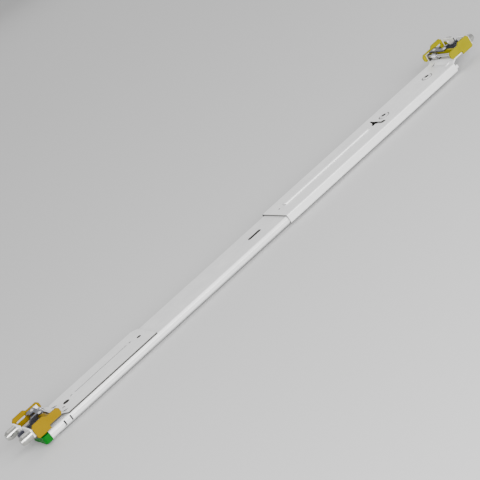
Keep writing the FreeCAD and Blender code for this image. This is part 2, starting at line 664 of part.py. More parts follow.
# ---------------------------------------------------------------- rear bracket
rear_run = rolled_section("rear", REAR_HALF, "rear_wall", from_front("rear_front"), from_rear("rear_channel_back"))
rear_bracket_body = new_body("rear_bracket_ear")
rear_top = "slide_gap + rear_wall"
rack_ear(rear_bracket_body, "rear", "rear_wall", "slide_gap", "rear_ramp_near", "rear_channel_back")
flange_pieces = []
for i, sign in enumerate((1, -1)):
    low = BRACKET_SIDE if sign > 0 else "-bracket_half"
    high = "bracket_half" if sign > 0 else f"-{BRACKET_SIDE}"
    flange_pieces.append(block(f"flange_end_{i}", (from_rear("rear_channel_back + 1"), low, "outer_ball_level - 1.9"),
                               (from_rear("rear_flange_back + 2.5"), high, f"{BRACKET_INSIDE} - 0.4")))
    flange_pieces.append(block(f"flange_tip_{i}", (from_rear("rear_flange_back + 2.5"), low, "outer_ball_level - 0.4"),
                               (from_rear("rear_flange_back"), high, f"{BRACKET_INSIDE} - 1.6")))
rib = new_body("rear_rib")
slot(rib, "XY", from_front("rib_start"), from_front("rib_end"), "rib_level", "rib_width / 2",
     f"{BRACKET_INSIDE} + 0.4", above_face(f"{rear_top} + rib_rise"), "Pad")
rib_top = value(above_face(f"{rear_top} + rib_rise"))
soften(rib, "rib_round", lambda edge: edge.BoundBox.ZMin > rib_top - 0.01)
rear_solid = joined("rear_bracket_solid", [rear_run, rear_bracket_body, rib] + flange_pieces)
REAR_RIVETS = ("rear_rivet_front", "rear_rivet_rear")
rear_cutters = obround("rib_groove_cut", from_front("rib_start + rib_end_wall"), from_front("rib_end - rib_end_wall"),
                       "rib_level", "rib_groove / 2",
                       f"{BRACKET_INSIDE} - 0.5", above_face("slide_gap + rib_rise + 0.1"))
rear_cutters += [rod(f"rear_rivet_hole_{i}", "rear_rivet_shank", "4", (from_front(place), "0", f"{BRACKET_INSIDE} - 1"), ALONG_Z)
                 for i, place in enumerate(REAR_RIVETS)]
rear_cutters.append(rod("rear_dot", "rear_dot_radius", "4", (from_front("rear_dot_place"), "rear_dot_level", f"{BRACKET_INSIDE} - 1"), ALONG_Z))
window = new_body("rear_window_cut")
WINDOW = [
    (-1.1, 11.9), (0.5, 12.3), (-0.3, 7.1), (-0.2, 1.1), (-0.4, -5.3),
    (1.6, -7.0), (2.2, -10.1), (0.7, -11.8), (-2.2, -11.3), (-3.5, -8.0),
    (-3.4, -2.6), (-4.1, -0.5), (-7.3, -1.0), (-6.5, 2.3), (-3.3, 5.4),
]
prism(window, "XY", [(from_front(f"window_place + {along_rail}"), f"{across}") for along_rail, across in WINDOW],
      f"{BRACKET_INSIDE} - 1", above_face(f"{rear_top} + 1"))
rear_cutters.append(window)
rear_cutters.append(block("rear_crease", (from_front("crease_start"), "-crease_level - crease_half", above_face(f"{rear_top} - crease_depth")),
                          (from_front("crease_end"), "-crease_level + crease_half", above_face(f"{rear_top} + 1"))))
ring_low = above_face(f"{rear_top} - ring_depth")
for i, place in enumerate(REAR_RIVETS):
    centre = (from_front(place), "0", ring_low)
    rear_cutters.append(cut_away(f"rear_ring_{i}", rod(f"rear_ring_outer_{i}", "rear_rivet_head + ring_width", "2", centre, ALONG_Z),
                                 [rod(f"rear_ring_inner_{i}", "rear_rivet_head - 0.3", "2", centre, ALONG_Z)]))
rear_bracket = cut_away("rear_bracket", rear_solid, rear_cutters)

stiffener = new_body("rear_stiffener")
STIFF_LOW = f"({BRACKET_INSIDE} - stiffener_wall)"
prism(stiffener, "XY", box_points(from_front("rear_rivet_front - stiffener_margin"), "-stiffener_half",
                                  from_front("rear_rivet_rear + stiffener_tail"), "stiffener_half"), STIFF_LOW, BRACKET_INSIDE)
bore(stiffener, "XY", [(from_front(place), "0", "rear_rivet_shank") for place in REAR_RIVETS]
     + [(from_front("(rear_rivet_front + rear_rivet_rear) / 2"), "0", "stiffener_hole")],
     f"{STIFF_LOW} - 1", f"{BRACKET_INSIDE} + 1")
stiffener_edge = value("stiffener_half")
soften(stiffener, "stiffener_corner", lambda edge: runs_along(edge, App.Vector(0, 0, 1)) and abs(abs(edge.BoundBox.Center.y) - stiffener_edge) < 0.01)

rear_rivet_pieces = []
for i, place in enumerate(REAR_RIVETS):
    centre = (from_front(place), "0")
    top = above_face(rear_top)
    shank = rod(f"rear_rivet_{i}", "rear_rivet_shank", f"{top} - {STIFF_LOW}", (*centre, STIFF_LOW), ALONG_Z)
    head = taper(f"rear_rivet_head_{i}", "rear_rivet_head", "rear_rivet_head - 0.8", "rear_rivet_height", (*centre, top), ALONG_Z)
    foot = rod(f"rear_rivet_foot_{i}", "rear_rivet_shank + 1.2", "0.8", (*centre, f"{STIFF_LOW} - 0.8"), ALONG_Z)
    dimple = rod(f"rear_rivet_dimple_{i}", "rear_rivet_hollow", "rear_rivet_depth + 0.2",
                 (*centre, f"{top} + rear_rivet_height - rear_rivet_depth"), ALONG_Z)
    rear_rivet_pieces.append(cut_away(f"rear_rivet_whole_{i}", joined(f"rear_rivet_solid_{i}", [shank, head, foot]), [dimple]))
rear_rivets = grouped("rear_bracket_rivets", rear_rivet_pieces)

# guide stud that runs in the rib and stops the rear bracket
STUD_TOP = above_face("slide_gap + rib_rise - 0.25")
guide_stud = joined("adjust_stud", [
    rod("stud_shank", "stud_radius", f"{STUD_TOP} - {OUTER_INSIDE}", (from_front("stud_place"), "rib_level", OUTER_INSIDE), ALONG_Z),
    rod("stud_foot", "stud_radius + 1", "0.5", (from_front("stud_place"), "rib_level", f"{OUTER_INSIDE} - 0.5"), ALONG_Z),
])


# ---------------------------------------------------------------- latch


def latch(side):
    """Pin, lever, hook, rivets and spring of one end's latch."""
    name = f"{side}_latch"
    centre = (along(side, "pin_place"), above_face("pin_rise"))
    cover = "bracket_half - pin_cover"
    pin_half = f"{cover} - pin_end_gap"
    rod_shape = rod(f"{name}_pin_rod", "pin_radius", f"2 * ({pin_half})", (centre[0], f"-({pin_half})", centre[1]), ALONG_Y)
    grouped(f"{name}_pin", [rod_shape])

    lever = new_body(f"{name}_lever")
    inner_side = "bracket_half - wing_wall"
    head_end = "wing_gap + head_length"
    wing = [
        ("wing_gap", "head_low + 1.2"), ("wing_gap + 1.2", "head_low"), (head_end, "head_low"), (head_end, "neck_low"),
        ("neck_end - 1.6", "neck_low"), ("neck_end", "neck_low + 1.6"), ("neck_end", "neck_high - 2"),
        ("neck_end - 2", "neck_high"), (f"{head_end} + 1.8", "neck_high"), (f"{head_end} - 0.6", "head_high"),
        ("wing_gap + 2", "head_high"), ("wing_gap", "head_high - 2"),
    ]
    outline = [(along(side, distance), above_face(rise)) for distance, rise in wing]
    near, far = span(side, "spine_start", "spine_end")
    prism(lever, "XZ", box_points(near, above_face("spine_low"), far, above_face("spine_high")), f"-({inner_side})", inner_side)
    prism(lever, "XZ", outline, inner_side, "bracket_half")
    prism(lever, "XZ", outline, "-bracket_half", f"-({inner_side})")
    bore(lever, "XZ", [(*centre, "pin_radius + pin_play")], f"-({cover})", cover)
    near, far = span(side, "wing_gap + 2.6", "wing_gap + head_length - 1.2")
    slot(lever, "XZ", near, far, above_face("wing_slot_level"), "wing_slot_radius", f"{inner_side} - 0.5", "bracket_half + 1")
    rivet_spots = [(along(side, "(spine_start + spine_end) / 2"), level) for level in ("-hook_rivet_near", "hook_rivet_far")]
    bore(lever, "XY", [(*spot, "hook_rivet_radius") for spot in rivet_spots],
         above_face("spine_low - 1"), above_face("spine_high + 1"))

    hook = new_body(f"{name}_hook")
    plate_low = above_face("spine_high")
    plate_high = above_face("spine_high + hook_sheet")
    plate_half = "ear_half - lug_wall - 0.6"
    outline = [("hook_plate_start", plate_half), ("hook_plate_end", plate_half), ("hook_plate_end", "-hook_plate_low"),
               ("spine_start", "-hook_plate_low"), ("spine_start", "hook_plate_inner"), ("hook_plate_start", "hook_plate_inner")]
    prism(hook, "XY", [(along(side, distance), across) for distance, across in outline], plate_low, plate_high)
    near, far = span(side, "hook_plate_start", "hook_plate_start + hook_sheet")
    prism(hook, "XY", box_points(near, "hook_plate_inner", far, plate_half), above_face("hook_flange_low"), plate_low)
    near, far = span(side, "hook_plate_start", "spine_start - 0.2")
    prism(hook, "XY", box_points(near, "hook_plate_inner", far, "hook_plate_inner + hook_sheet"), above_face("hook_flange_low"), plate_low)
    arm = [
        ("-hook_reach", "barb_low"), ("-post_room", "barb_low"), ("-post_room", "arm_low"), ("pin_place - 11", "arm_low"),
        ("pin_place - 6.6", "spine_high"), ("pin_place - 2", "spine_high"), ("pin_place - 2", "spine_high + hook_sheet"),
        ("pin_place - 13", "spine_high + hook_sheet"), ("pin_place - 16.5", "arm_high"), ("-hook_reach + 1.8", "arm_high"), ("-hook_reach", "arm_high - 1.8"),
    ]
    points = [(along(side, distance), above_face(rise)) for distance, rise in arm]
    prism(hook, "XZ", points, "-hook_width / 2", "hook_width / 2")
    bore(hook, "XY", [(*spot, "hook_rivet_radius") for spot in rivet_spots],
         f"{plate_low} - 1", f"{plate_high} + 1")

    pieces = []
    for i, spot in enumerate(rivet_spots):
        pieces.append(rod(f"{name}_rivet_{i}", "hook_rivet_radius", "spine_high + hook_sheet - spine_low", (*spot, above_face("spine_low")), ALONG_Z))
        pieces.append(taper(f"{name}_rivet_head_{i}", "hook_rivet_radius + 0.8", "hook_rivet_radius + 0.2", "0.7", (*spot, plate_high), ALONG_Z))
    joined(f"{name}_rivets", pieces)

    spring = new_body(f"{name}_spring_coil")
    sketch = new_sketch(spring, "XY", centre[1])
    start = "spring_place - spring_turns * spring_wire / 2"
    inside = "pin_radius + spring_room"
    turns = int(round(value("spring_turns")))
    profile = [(f"{centre[0]} + {inside}", start)]
    for turn in range(turns):
        profile.append((f"{centre[0]} + {inside} + spring_wire * 0.72", f"{start} + {turn} * spring_wire"))
        profile.append((f"{centre[0]} + {inside} + spring_wire", f"{start} + {turn + 0.5} * spring_wire"))
    profile.append((f"{centre[0]} + {inside} + spring_wire * 0.72", f"{start} + {turns} * spring_wire"))
    profile.append((f"{centre[0]} + {inside}", f"{start} + {turns} * spring_wire"))
    draw_path(sketch, profile)
    axis = sketch.addGeometry(Part.LineSegment(App.Vector(value(centre[0]), -1, 0), App.Vector(value(centre[0]), 1, 0)), True)
    fix_point(sketch, axis, 1, centre[0], "-1")
    fix_point(sketch, axis, 2, centre[0], "1")
    coil = spring.newObject("PartDesign::Revolution", f"{name}_coil")
    coil.Profile = sketch
    coil.ReferenceAxis = (sketch, ["Axis0"])
    coil.Angle = 360
    doc.recompute()
    middle = f"{inside} + spring_wire / 2"
    foot = along(side, f"pin_place - ({middle})")
    low_leg = "spring_place - spring_turns * spring_wire / 2 + spring_wire / 2"
    high_leg = "spring_place + spring_turns * spring_wire / 2 - spring_wire / 2"
    foot_leg = rod(f"{name}_foot_leg", "spring_wire * 0.4", "pin_rise - joggle_rise - 0.6",
                   (foot, low_leg, above_face("joggle_rise + 0.6")), ALONG_Z)
    near, far = span(side, "spine_end + 0.2", "pin_place")
    hook_leg = rod(f"{name}_hook_leg", "spring_wire * 0.4", f"({far}) - ({near})",
                   (near, high_leg, above_face("spine_high - spring_wire * 0.4 - 0.02")), ALONG_X)
    joined(f"{name}_spring", [spring, foot_leg, hook_leg])


latch("front")
latch("rear")

# ---------------------------------------------------------------- middle member
middle_run = rolled_section("middle", MIDDLE_HALF, "middle_wall", from_front("middle_front"), from_front("middle_back"))
MIDDLE_INSIDE = "(middle_top - middle_wall)"
middle_cutters = []
for i, place in enumerate(("30", "74", "123", "258", "360")):
    middle_cutters += obround(f"middle_slot_{i}", from_front(place), from_front(f"{place} + middle_slot_length"), "0",
                              "middle_slot_radius", f"{MIDDLE_INSIDE} - 1", "middle_top + 1")
middle_member = cut_away("middle_member", middle_run, middle_cutters)
damper = new_body("middle_rear_damper")
prism(damper, "YZ", box_points("-8.5", "1.6", "8.5", MIDDLE_INSIDE), from_front("inner_back + 2"), from_front("middle_back - 1"))

# ---------------------------------------------------------------- inner member
inner_run = rolled_section("inner", INNER_HALF, "inner_wall", from_front("inner_front"), from_front("inner_back"))
GRIP_RIVETS = ("grip_rivet_front", "grip_rivet_rear")
inner_cutters = [rod(f"chassis_hole_{i}", "chassis_hole_radius", "3",
                     (from_front(f"chassis_hole_front + {i} * chassis_hole_pitch"), "0", "-1"), ALONG_Z) for i in range(3)]
inner_cutters += [rod(f"grip_hole_{i}", "grip_rivet_radius", "3", (from_front(place), "0", "-1"), ALONG_Z) for i, place in enumerate(GRIP_RIVETS)]
inner_cutters.append(rod("release_hole", "release_pin", "3", (from_front("release_place"), "0", "-1"), ALONG_Z))
inner_member = cut_away("inner_member", inner_run, inner_cutters)

grip = new_body("inner_front_grip")
GRIP_TOP = above_face("-grip_gap")
prism(grip, "XY", [
    (from_front("grip_start"), "-outer_half + 1.5"), (from_front("grip_start + 1.5"), "-outer_half"),
    (from_front("grip_end"), "-outer_half"), (from_front("grip_end"), "grip_high"), (from_front("grip_start"), "grip_high"),
], "grip_low_level", GRIP_TOP)
TONGUE_TOP = "inner_side - grip_tongue_gap"
prism(grip, "XY", box_points(from_front("grip_start + 1"), "-grip_tongue_half", from_front("grip_tongue_end"), "grip_tongue_half"),
      "inner_wall", TONGUE_TOP)
bore(grip, "XY", [(from_front(place), "0", "grip_rivet_radius") for place in GRIP_RIVETS], "inner_wall - 1", "inner_side + 4")
grip_rivets = []
for i, place in enumerate(GRIP_RIVETS):
    spot = (from_front(place), "0")
    grip_rivets.append(rod(f"grip_rivet_{i}", "grip_rivet_radius", f"{TONGUE_TOP} - 0.3", (*spot, "0.3"), ALONG_Z))
    grip_rivets.append(rod(f"grip_rivet_head_{i}", "grip_rivet_radius + 0.95", "0.7", (*spot, TONGUE_TOP), ALONG_Z))
joined("grip_rivets", grip_rivets)

release = new_body("release_lever")
RELEASE_LOW = "inner_wall + seat_gap"
RELEASE_HIGH = "inner_wall + seat_gap + release_wall"
prism(release, "XY", [
    (from_front("release_place - release_half"), "-3"), (from_front("release_place - release_half + 14"), "-4.4"),
    (from_front("release_place + release_half - 6"), "-3.4"), (from_front("release_place + release_half"), "-1"),
    (from_front("release_place + release_half"), "4.6"), (from_front("release_place + release_half - 5"), "4.6"),
    (from_front("release_place + release_half - 8"), "3.4"), (from_front("release_place - release_half + 14"), "4.4"),
    (from_front("release_place - release_half"), "3"),
], RELEASE_LOW, RELEASE_HIGH)
prism(release, "XY", box_points(from_front("release_place - release_half"), "-3", from_front("release_place - release_half + 9"), "3"),
      RELEASE_HIGH, f"{RELEASE_HIGH} + 2")
bore(release, "XY", [(from_front("release_place"), "0", "release_pin + release_play")], f"{RELEASE_LOW} - 1", f"{RELEASE_HIGH} + 1")
PIVOT = (from_front("release_place"), "0")
joined("release_pivot", [
    rod("release_shank", "release_pin", f"{RELEASE_HIGH} + seat_gap - 0.2", (*PIVOT, "0.2"), ALONG_Z),
    rod("release_head", "release_pin + 1.3", "0.8", (*PIVOT, f"{RELEASE_HIGH} + seat_gap"), ALONG_Z),
])


# ---------------------------------------------------------------- ball cages


def ball_cage(label, across, level, diameter, count, bridge_low, bridge_high, run_start, run_length):
    """Two perforated strips joined by a bridge, and the balls in their windows."""
    cage = new_body(f"{label}_ball_cage")
    start = from_front(run_start)
    end = from_front(f"{run_start} + {run_length}")
    half = "cage_strip / 2"
    places = [from_front(f"{run_start} + ({run_length}) / 2 + ({i} - {(count - 1) / 2}) * ball_pitch") for i in range(count)]
    top = bridge_high if bridge_high else f"{level} + cage_depth"
    for side in (1, -1):
        low = f"{side} * {across} - {half}"
        high = f"{side} * {across} + {half}"
        prism(cage, "XZ", box_points(start, f"{level} - cage_depth", end, top), low, high)
    for place in ("0", f"{run_length} - cage_bridge"):
        near = from_front(f"{run_start} + {place}")
        far = from_front(f"{run_start} + {place} + cage_bridge")
        prism(cage, "XY", box_points(near, f"-{across}", far, across), bridge_low, bridge_high)
    bore(cage, "XZ", [(place, level, f"{diameter} / 2 + cage_play") for place in places], f"-{across} - 2", f"{across} + 2")
    balls = []
    for side in (1, -1):
        for i, place in enumerate(places):
            balls.append(primitive("Sphere", f"{label}_ball_{i}_{side + 1}", {"Radius": f"{diameter} / 2"},
                                   (place, f"{side} * {across}", level)))
    grouped(f"{label}_balls", balls)


ball_cage("outer", OUTER_BALL_Y, "outer_ball_level", "outer_ball", 6, "middle_top + 0.12", f"{OUTER_INSIDE} - 0.12", "cage_start", "cage_length")
ball_cage("inner", INNER_BALL_Y, "inner_ball_level", "inner_ball", 5, "5.3", "5.8", "cage_start + 6", "cage_length - 16")

doc.recompute()

# ---------------------------------------------------------------- export
NODES = [
    "outer_member", "outer_rear_buffer", "front_bracket", "front_bracket_rivets", "front_pegs", "front_latch_pin", "adjust_stud",
    "front_latch_lever", "front_latch_hook", "front_latch_rivets", "front_latch_spring",
    "rear_bracket", "rear_stiffener", "rear_bracket_rivets", "rear_pegs", "rear_latch_pin",
    "rear_latch_lever", "rear_latch_hook", "rear_latch_rivets", "rear_latch_spring",
    "outer_ball_cage", "outer_balls", "middle_member", "middle_rear_damper", "inner_ball_cage", "inner_balls",
    "inner_member", "inner_front_grip", "grip_rivets", "release_pivot", "release_lever",
]
faults = [(item.Label, item.getStatusString()) for item in doc.Objects if "Invalid" in item.State or "Error" in item.State]
if faults:
    raise RuntimeError(f"failed objects: {faults}")
os.makedirs("parts", exist_ok=True)
for label in NODES:
    node = doc.getObjectsByLabel(label)[0]
    shape = node.Shape
    if shape.isNull() or not shape.isValid() or not shape.Solids:
        raise RuntimeError(f"bad shape: {label}")
    shape.exportStep(f"parts/{label}.step")
    print(f"{label:24s} solids {len(shape.Solids):2d}  volume {shape.Volume:9.1f} mm3")
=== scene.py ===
"""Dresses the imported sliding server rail: plated steel, moulded plastic and wound springs."""

import math

import bmesh
import bpy
from mathutils import Matrix, Vector


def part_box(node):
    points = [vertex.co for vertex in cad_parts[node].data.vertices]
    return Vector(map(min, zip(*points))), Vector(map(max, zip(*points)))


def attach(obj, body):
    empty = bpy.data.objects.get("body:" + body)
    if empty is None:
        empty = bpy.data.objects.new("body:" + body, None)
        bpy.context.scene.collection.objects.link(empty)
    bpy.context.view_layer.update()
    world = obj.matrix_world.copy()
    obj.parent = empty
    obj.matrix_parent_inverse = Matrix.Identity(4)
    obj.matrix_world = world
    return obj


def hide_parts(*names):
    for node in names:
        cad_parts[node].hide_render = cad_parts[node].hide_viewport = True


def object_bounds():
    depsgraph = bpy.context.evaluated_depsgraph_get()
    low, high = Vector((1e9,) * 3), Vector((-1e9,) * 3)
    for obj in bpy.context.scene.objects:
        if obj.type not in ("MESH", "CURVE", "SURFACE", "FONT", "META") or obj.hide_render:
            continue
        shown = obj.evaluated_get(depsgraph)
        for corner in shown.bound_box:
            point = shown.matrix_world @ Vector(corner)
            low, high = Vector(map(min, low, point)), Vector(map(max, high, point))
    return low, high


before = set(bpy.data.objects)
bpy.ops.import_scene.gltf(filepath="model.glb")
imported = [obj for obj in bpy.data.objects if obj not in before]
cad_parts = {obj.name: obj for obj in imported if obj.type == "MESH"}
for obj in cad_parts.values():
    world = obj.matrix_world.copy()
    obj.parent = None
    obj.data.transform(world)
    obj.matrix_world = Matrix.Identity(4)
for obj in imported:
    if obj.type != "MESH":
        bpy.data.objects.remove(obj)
cad_bounds = [list(corner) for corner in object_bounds()]

# ---------------------------------------------------------------- fixed rail
# Cold-rolled strip, roll-formed into a channel and zinc plated in long lengths, then pierced.
# The rolls leave fine lines along it, and the bath leaves soft grey clouds that hands polish
# The shears leave its cut walls unplated; they and its inside are painted near black, which is
# painted shade.
RAIL_LIGHT = (0.86, 0.86, 0.855)
RAIL_DARK = (0.70, 0.70, 0.71)
RAIL_METALLIC = 0.35
RAIL_RELIEF = 12
# Zones of painted shade: the rail's pierced walls, ends and inner walls.
RAIL_SHADE_ZONES = dict(reach=0.017, wall_top=0.011, end_top=0.0125, inside=1.0)
# Near black standing in for shade: the painted shade in holes, on sheet ends, in recesses and inside
# channels.
PAINTED_SHADE_COLOUR = (0.055, 0.053, 0.05, 1)
ROLLED_GRAIN = (9.0, 1100.0, 1100.0)
NOISE_MEAN = 0.5
CLOUD_CONTRAST = 1.6
SPECK_SCALE = 2600.0
SPECK_CONTRAST = 0.25
LIGHT_SHARE = 0.6
PLATING_BUMP = 0.5
MICROMETRES = 1e6
UPRIGHT_LIMIT = 0.35
END_LIMIT = 0.7
LEVEL_LIMIT = 0.5
INWARD_LIMIT = -0.001
NOWHERE = -1.0


def node_group(name, inputs, outputs):
    """A shader node group with sockets (name, kind, default) in and (name, kind) out."""
    group = bpy.data.node_groups.new(name, "ShaderNodeTree")
    for label, kind, default in inputs:
        socket = group.interface.new_socket(name=label, in_out="INPUT", socket_type=kind)
        socket.default_value = default
    for label, kind in outputs:
        group.interface.new_socket(name=label, in_out="OUTPUT", socket_type=kind)
    return group, group.nodes.new("NodeGroupInput"), group.nodes.new("NodeGroupOutput")


def add_node(tree, kind, **settings):
    """A node whose sockets or properties are set by name."""
    node = tree.nodes.new(kind)
    for key, setting in settings.items():
        if key in node.inputs:
            node.inputs[key].default_value = setting
        else:
            setattr(node, key, setting)
    return node


def combined(tree, first, second, operation="ADD"):
    """A maths node on two outputs or numbers."""
    node = tree.nodes.new("ShaderNodeMath")
    node.operation = operation
    for socket, source in zip(node.inputs, (first, second)):
        if isinstance(source, (int, float)):
            socket.default_value = source
        else:
            tree.links.new(source, socket)
    return node.outputs[0]


def around_zero(tree, noise, strength):
    """A noise output moved to swing about zero, times a strength."""
    return combined(tree, combined(tree, noise, NOISE_MEAN, "SUBTRACT"), strength, "MULTIPLY")


def blended(tree, factor, low, high):
    """A colour between two outputs, by a factor that is held to 0 and 1."""
    mix = add_node(tree, "ShaderNodeMix", data_type="RGBA", clamp_factor=True)
    for label, kind, source in (("Factor", "VALUE", factor), ("A", "RGBA", low), ("B", "RGBA", high)):
        socket = next(item for item in mix.inputs if item.name == label and item.type == kind)
        tree.links.new(source, socket)
    return next(item for item in mix.outputs if item.type == "RGBA")


def build_plating():
    """Clouds, rolling lines and specks on plated sheet."""
    number = "NodeSocketFloat"
    colour = "NodeSocketColor"
    group, given, made = node_group(
        "plating",
        [("Light", colour, (0.8, 0.8, 0.8, 1)), ("Dark", colour, (0.6, 0.6, 0.6, 1)),
         ("Grain Scale", "NodeSocketVector", ROLLED_GRAIN), ("Grain", number, 0.5),
         ("Cloud", number, 1.0), ("Cloud Scale", number, 70.0),
         ("Gloss", number, 0.4), ("Gloss Spread", number, 0.2)],
        [("Color", colour), ("Roughness", number), ("Height", number)])
    place = add_node(group, "ShaderNodeTexCoord").outputs["Object"]
    cloud = add_node(group, "ShaderNodeTexNoise", Detail=5.0, Roughness=0.62)
    group.links.new(place, cloud.inputs["Vector"])
    group.links.new(given.outputs["Cloud Scale"], cloud.inputs["Scale"])
    stretch = add_node(group, "ShaderNodeVectorMath", operation="MULTIPLY")
    group.links.new(place, stretch.inputs[0])
    group.links.new(given.outputs["Grain Scale"], stretch.inputs[1])
    lines = add_node(group, "ShaderNodeTexNoise", Scale=1.0, Detail=3.0)
    group.links.new(stretch.outputs[0], lines.inputs["Vector"])
    specks = add_node(group, "ShaderNodeTexNoise", Scale=SPECK_SCALE, Detail=1.0)
    group.links.new(place, specks.inputs["Vector"])
    cloud_part = around_zero(group, cloud.outputs["Fac"], given.outputs["Cloud"])
    line_part = around_zero(group, lines.outputs["Fac"], given.outputs["Grain"])
    speck_part = around_zero(group, specks.outputs["Fac"], SPECK_CONTRAST)
    relief = combined(group, line_part, speck_part)
    clouded = combined(group, combined(group, cloud_part, CLOUD_CONTRAST, "MULTIPLY"), relief)
    level = combined(group, clouded, LIGHT_SHARE)
    group.links.new(blended(group, level, given.outputs["Dark"], given.outputs["Light"]),
                    made.inputs["Color"])
    spread = combined(group, combined(group, LIGHT_SHARE, level, "SUBTRACT"),
                      given.outputs["Gloss Spread"], "MULTIPLY")
    group.links.new(combined(group, given.outputs["Gloss"], spread), made.inputs["Roughness"])
    group.links.new(relief, made.inputs["Height"])
    return group


PLATING = build_plating()


def build_painted_shade_mask():
    """Painted shade on the walls of pierced holes and ends of the blank, which shearing leaves
    unplated, and on the floors of recesses and the insides of channels: the mask marks where shade
    falls."""
    number = "NodeSocketFloat"
    group, given, made = node_group(
        "painted_shade_mask",
        [("Reach", number, 0.017), ("Wall Top", number, 0.011), ("End Top", number, 0.0125),
         ("Recess Top", number, NOWHERE), ("Inside", number, 0.0)],
        [("Mask", number)])
    surface = add_node(group, "ShaderNodeTexCoord")
    place = add_node(group, "ShaderNodeSeparateXYZ")
    facing = add_node(group, "ShaderNodeSeparateXYZ")
    group.links.new(surface.outputs["Object"], place.inputs[0])
    group.links.new(surface.outputs["Normal"], facing.inputs[0])

    def size_of(output):
        return combined(group, output, 0.0, "ABSOLUTE")

    def above(output, limit):
        return combined(group, output, limit, "GREATER_THAN")

    def below(output, limit):
        return combined(group, output, limit, "LESS_THAN")

    def both(first, second):
        return combined(group, first, second, "MULTIPLY")

    def either(first, second):
        return combined(group, first, second, "MAXIMUM")

    upright = below(size_of(facing.outputs["Z"]), UPRIGHT_LIMIT)
    near_middle = below(size_of(place.outputs["Y"]), given.outputs["Reach"])
    pierced = both(near_middle, below(place.outputs["Z"], given.outputs["Wall Top"]))
    ends = both(above(size_of(facing.outputs["X"]), END_LIMIT),
                below(place.outputs["Z"], given.outputs["End Top"]))
    floors = both(above(facing.outputs["Z"], LEVEL_LIMIT),
                  below(place.outputs["Z"], given.outputs["Recess Top"]))
    # The channel's inner walls, which face its middle, get painted shade as set by the Inside socket.
    outward = both(place.outputs["Y"], facing.outputs["Y"])
    shaded_inside = both(below(outward, INWARD_LIMIT), given.outputs["Inside"])
    walls = both(upright, either(pierced, ends))
    group.links.new(either(walls, either(both(floors, near_middle), shaded_inside)), made.inputs["Mask"])
    return group


PAINTED_SHADE_MASK = build_painted_shade_mask()


def new_material(name):
    """A node material, its node tree and its shader."""
    material = bpy.data.materials.new(name)
    material.use_nodes = True
    return material, material.node_tree, material.node_tree.nodes["Principled BSDF"]


def give_values(node, values):
    """Sets a group's sockets from names written with underscores."""
    for label, value in values.items():
        node.inputs[label.replace("_", " ").title()].default_value = value


def plated(name, light, dark, metallic, relief, shade_zones=None, **values):
    """Metal with a plated skin; relief is the depth of its texture in micrometres. The painted-shade
    zones give, in metres, how far out the pierced walls reach and how high they, the ends and the
    floors of recesses go, which all get painted shade; their inside is how much painted shade the
    channel's inner walls get, from 0 to 1."""
    material, tree, shader = new_material(name)
    skin = add_node(tree, "ShaderNodeGroup", node_tree=PLATING)
    give_values(skin, dict(values, light=(*light, 1), dark=(*dark, 1)))
    bump = add_node(tree, "ShaderNodeBump", Strength=PLATING_BUMP, Distance=relief / MICROMETRES)
    tree.links.new(skin.outputs["Height"], bump.inputs["Height"])
    colour = skin.outputs["Color"]
    # Where the zones are given, the mask paints the surfaces there near black as painted shade.
    if shade_zones:
        shade_mask = add_node(tree, "ShaderNodeGroup", node_tree=PAINTED_SHADE_MASK)
        give_values(shade_mask, shade_zones)
        shade_swatch = add_node(tree, "ShaderNodeRGB")
        shade_swatch.outputs[0].default_value = PAINTED_SHADE_COLOUR
        colour = blended(tree, shade_mask.outputs["Mask"], colour, shade_swatch.outputs[0])
    tree.links.new(colour, shader.inputs["Base Color"])
    tree.links.new(skin.outputs["Roughness"], shader.inputs["Roughness"])
    tree.links.new(bump.outputs["Normal"], shader.inputs["Normal"])
    shader.inputs["Metallic"].default_value = metallic
    return material


def dress(material, *names):
    """Gives CAD nodes their finish."""
    for name in names:
        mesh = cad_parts[name].data
        mesh.materials.clear()
        mesh.materials.append(material)


rail_zinc = plated("rail_zinc", RAIL_LIGHT, RAIL_DARK, RAIL_METALLIC, RAIL_RELIEF, RAIL_SHADE_ZONES,
                   gloss=0.42, cloud_scale=55.0)
dress(rail_zinc, "outer_member")

# ---------------------------------------------------------------- rear buffers
# Blocks of black acetal pushed into the rear ends of the fixed rail and the middle member,
# where they quiet the balls' stop. Their mould was spark eroded, so they have a fine even
# grain and almost no shine.
BUFFER_BLACK = (0.018, 0.018, 0.019)
BUFFER_RUBBED = (0.03, 0.03, 0.032)
GRAIN_FREQUENCY = 900.0
RUB_START = 0.35
RUB_CONTRAST = 2.2
SHINE_SPREAD = 0.3
MOULD_BUMP = 0.35
MOULD_RELIEF = 30


def build_moulding():
    """Spark-eroded grain, slow colour drift and rubbed places on moulded plastic."""
    number = "NodeSocketFloat"
    colour = "NodeSocketColor"
    group, given, made = node_group(
        "moulding",
        [("Body", colour, (0.5, 0.5, 0.5, 1)), ("Rubbed", colour, (0.4, 0.4, 0.4, 1)),
         ("Grain Size", number, 0.3), ("Gloss", number, 0.5), ("Drift Scale", number, 90.0)],
        [("Color", colour), ("Roughness", number), ("Height", number)])
    place = add_node(group, "ShaderNodeTexCoord").outputs["Object"]
    drift = add_node(group, "ShaderNodeTexNoise", Detail=3.0, Roughness=0.55)
    group.links.new(place, drift.inputs["Vector"])
    group.links.new(given.outputs["Drift Scale"], drift.inputs["Scale"])
    grain = add_node(group, "ShaderNodeTexNoise", Detail=2.0)
    group.links.new(place, grain.inputs["Vector"])
    group.links.new(combined(group, GRAIN_FREQUENCY, given.outputs["Grain Size"], "DIVIDE"),
                    grain.inputs["Scale"])
    rubbed = combined(group, combined(group, drift.outputs["Fac"], RUB_START, "SUBTRACT"),
                      RUB_CONTRAST, "MULTIPLY")
    group.links.new(blended(group, rubbed, given.outputs["Body"], given.outputs["Rubbed"]),
                    made.inputs["Color"])
    shine = around_zero(group, grain.outputs["Fac"], SHINE_SPREAD)
    group.links.new(combined(group, given.outputs["Gloss"], shine), made.inputs["Roughness"])
    group.links.new(grain.outputs["Fac"], made.inputs["Height"])
    return group


MOULDING = build_moulding()


